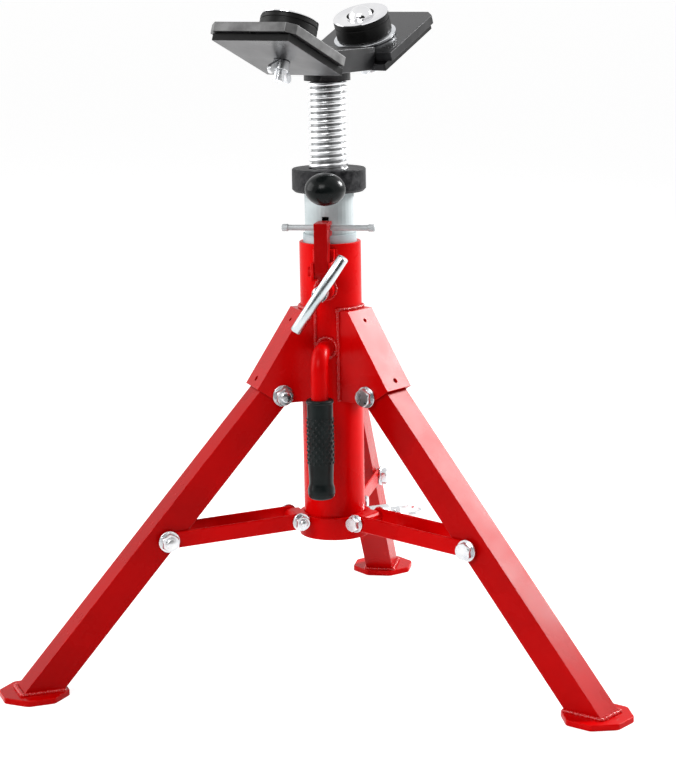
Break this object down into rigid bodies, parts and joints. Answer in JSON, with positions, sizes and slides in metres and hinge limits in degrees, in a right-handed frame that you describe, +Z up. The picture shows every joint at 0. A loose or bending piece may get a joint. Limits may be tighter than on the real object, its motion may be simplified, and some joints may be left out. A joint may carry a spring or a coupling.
{
  "type": "v-head pipe stand",
  "caption": "Folding red tripod pipe stand with a sliding mast, jack screw with handle nut, and a black v-shaped head with ball transfers.",
  "frame": {"origin": "on the floor, under the middle of the bounding box", "axes": "+Z up along the mast, +Y towards the back leg, -Y towards the carry handle"},
  "size_m": [0.608, 0.5338, 0.649],
  "materials": {
    "red_paint": "gloss",
    "zinc_plate": "satin",
    "black_cast": "matte",
    "grip_rubber": "matte",
    "bright_steel": "polished",
    "bush_plastic": "matte"
  },
  "bodies": {
    "mast": {"outer_tube": "red_paint", "leg_bracket_back": "red_paint", "leg_bracket_left": "red_paint", "leg_bracket_right": "red_paint", "leg_pivot_bolt_back": "zinc_plate", "leg_pivot_bolt_left": "zinc_plate", "leg_pivot_bolt_right": "zinc_plate", "guide_bush_upper": "bush_plastic", "clamp_boss": "red_paint", "lever_bracket": "red_paint", "lever_pin": "zinc_plate", "carry_handle": "red_paint", "handle_grip": "grip_rubber"},
    "leg_back": {"leg_back": "red_paint", "foot_plate_back": "red_paint"},
    "leg_left": {"leg_left": "red_paint", "foot_plate_left": "red_paint"},
    "leg_right": {"leg_right": "red_paint", "foot_plate_right": "red_paint"},
    "collar": {"fold_collar": "red_paint", "collar_bolt_back": "zinc_plate", "collar_bolt_left": "zinc_plate", "collar_bolt_right": "zinc_plate", "plunger_housing": "zinc_plate"},
    "link_back": {"brace_link_back": "red_paint", "link_bolt_back": "zinc_plate", "link_nut_back": "zinc_plate"},
    "link_left": {"brace_link_left": "red_paint", "link_bolt_left": "zinc_plate", "link_nut_left": "zinc_plate"},
    "link_right": {"brace_link_right": "red_paint", "link_bolt_right": "zinc_plate", "link_nut_right": "zinc_plate"},
    "plunger": {"plunger_pin": "zinc_plate", "plunger_ring": "zinc_plate"},
    "inner_tube": {"inner_tube": "zinc_plate", "guide_bush_lower": "bush_plastic"},
    "nut": {"handle_nut": "black_cast", "nut_knob": "black_cast"},
    "screw": {"jack_screw": "zinc_plate"},
    "head": {"v_saddle": "black_cast", "wing_plate_far": "black_cast", "wing_plate_near": "black_cast", "ball_flange_far": "zinc_plate", "ball_flange_near": "zinc_plate", "ball_housing_far": "black_cast", "ball_housing_near": "black_cast", "ball_cap_far": "bright_steel", "ball_cap_near": "bright_steel"},
    "ball_far": {"transfer_ball_far": "bright_steel"},
    "ball_near": {"transfer_ball_near": "bright_steel"},
    "wing_nut_far": {"wing_nut_far": "zinc_plate"},
    "wing_nut_near": {"wing_nut_near": "zinc_plate"},
    "clamp": {"clamp_screw": "zinc_plate", "clamp_tee_bar": "zinc_plate"},
    "lever": {"lock_lever": "red_paint", "lever_pull_bar": "zinc_plate"}
  },
  "joints": [
    {"name": "collar_slide", "type": "slide", "parent": "mast", "child": "collar", "axis": [0, 0, 1], "range_m": [0, 0.0833]},
    {"name": "leg_fold_back", "type": "hinge", "parent": "mast", "child": "leg_back", "pos_m": [0, -0.01855, 0.277], "axis": [-1, 0, 0], "range_deg": [0, 40.01]},
    {"name": "link_fold_back", "type": "hinge", "parent": "collar", "child": "link_back", "pos_m": [0, -0.03445, 0.1483], "axis": [-1, 0, 0], "range_deg": [0, 78.85]},
    {"name": "leg_fold_left", "type": "hinge", "parent": "mast", "child": "leg_left", "pos_m": [-0.05066, -0.1063, 0.277], "axis": [0.5, -0.866, 0], "range_deg": [0, 40.01]},
    {"name": "link_fold_left", "type": "hinge", "parent": "collar", "child": "link_left", "pos_m": [-0.03689, -0.09835, 0.1483], "axis": [0.5, -0.866, 0], "range_deg": [0, 78.85]},
    {"name": "leg_fold_right", "type": "hinge", "parent": "mast", "child": "leg_right", "pos_m": [0.05066, -0.1063, 0.277], "axis": [0.5, 0.866, 0], "range_deg": [0, 40.01]},
    {"name": "link_fold_right", "type": "hinge", "parent": "collar", "child": "link_right", "pos_m": [0.03689, -0.09835, 0.1483], "axis": [0.5, 0.866, 0], "range_deg": [0, 78.85]},
    {"name": "plunger_pull", "type": "slide", "parent": "collar", "child": "plunger", "axis": [0.866, 0.5, 0], "range_m": [0, 0.008], "stiffness_N_per_m": 1200, "springref_m": -0.006},
    {"name": "tube_slide", "type": "slide", "parent": "mast", "child": "inner_tube", "axis": [0, 0, 1], "range_m": [0, 0.21]},
    {"name": "screw_slide", "type": "slide", "parent": "inner_tube", "child": "screw", "axis": [0, 0, 1], "range_m": [-0.075, 0.095]},
    {"name": "nut_turn", "type": "hinge", "parent": "inner_tube", "child": "nut", "pos_m": [0, -0.07705, 0.484], "axis": [0, 0, 1], "range_deg": [-5701, 4501]},
    {"name": "head_swivel", "type": "hinge", "parent": "screw", "child": "head", "pos_m": [0, -0.07705, 0.58], "axis": [0, 0, 1], "continuous": true},
    {"name": "clamp_turn", "type": "hinge", "parent": "mast", "child": "clamp", "pos_m": [0, -0.12705, 0.3795], "axis": [0, -1, 0], "range_deg": [0, 360]},
    {"name": "lever_pull", "type": "hinge", "parent": "mast", "child": "lever", "pos_m": [0, -0.12205, 0.399], "axis": [1, 0, 0], "range_deg": [0, 15], "stiffness_Nm_per_rad": 2, "springref_deg": -17.19},
    {"name": "ball_roll_far", "type": "hinge", "parent": "head", "child": "ball_far", "pos_m": [0.02445, -0.01685, 0.63439], "axis": [-0.9265, 0.3762, 0], "continuous": true},
    {"name": "wing_nut_turn_far", "type": "hinge", "parent": "head", "child": "wing_nut_far", "pos_m": [0.02963, -0.00408, 0.60027], "axis": [-0.1409, -0.3471, 0.9272], "continuous": true},
    {"name": "ball_roll_near", "type": "hinge", "parent": "head", "child": "ball_near", "pos_m": [-0.02445, -0.13725, 0.63439], "axis": [-0.9265, 0.3762, 0], "continuous": true},
    {"name": "wing_nut_turn_near", "type": "hinge", "parent": "head", "child": "wing_nut_near", "pos_m": [-0.02963, -0.15002, 0.60027], "axis": [0.1409, 0.3471, 0.9272], "continuous": true}
  ],
  "couplings": [
    {"joint": "leg_fold_back", "follows": "collar_slide", "rad_per_m": 8.3809},
    {"joint": "link_fold_back", "follows": "collar_slide", "rad_per_m": 16.519},
    {"joint": "leg_fold_left", "follows": "collar_slide", "rad_per_m": 8.3809},
    {"joint": "link_fold_left", "follows": "collar_slide", "rad_per_m": 16.519},
    {"joint": "leg_fold_right", "follows": "collar_slide", "rad_per_m": 8.3809},
    {"joint": "link_fold_right", "follows": "collar_slide", "rad_per_m": 16.519},
    {"joint": "nut_turn", "follows": "screw_slide", "rad_per_m": -1047.2}
  ]
}
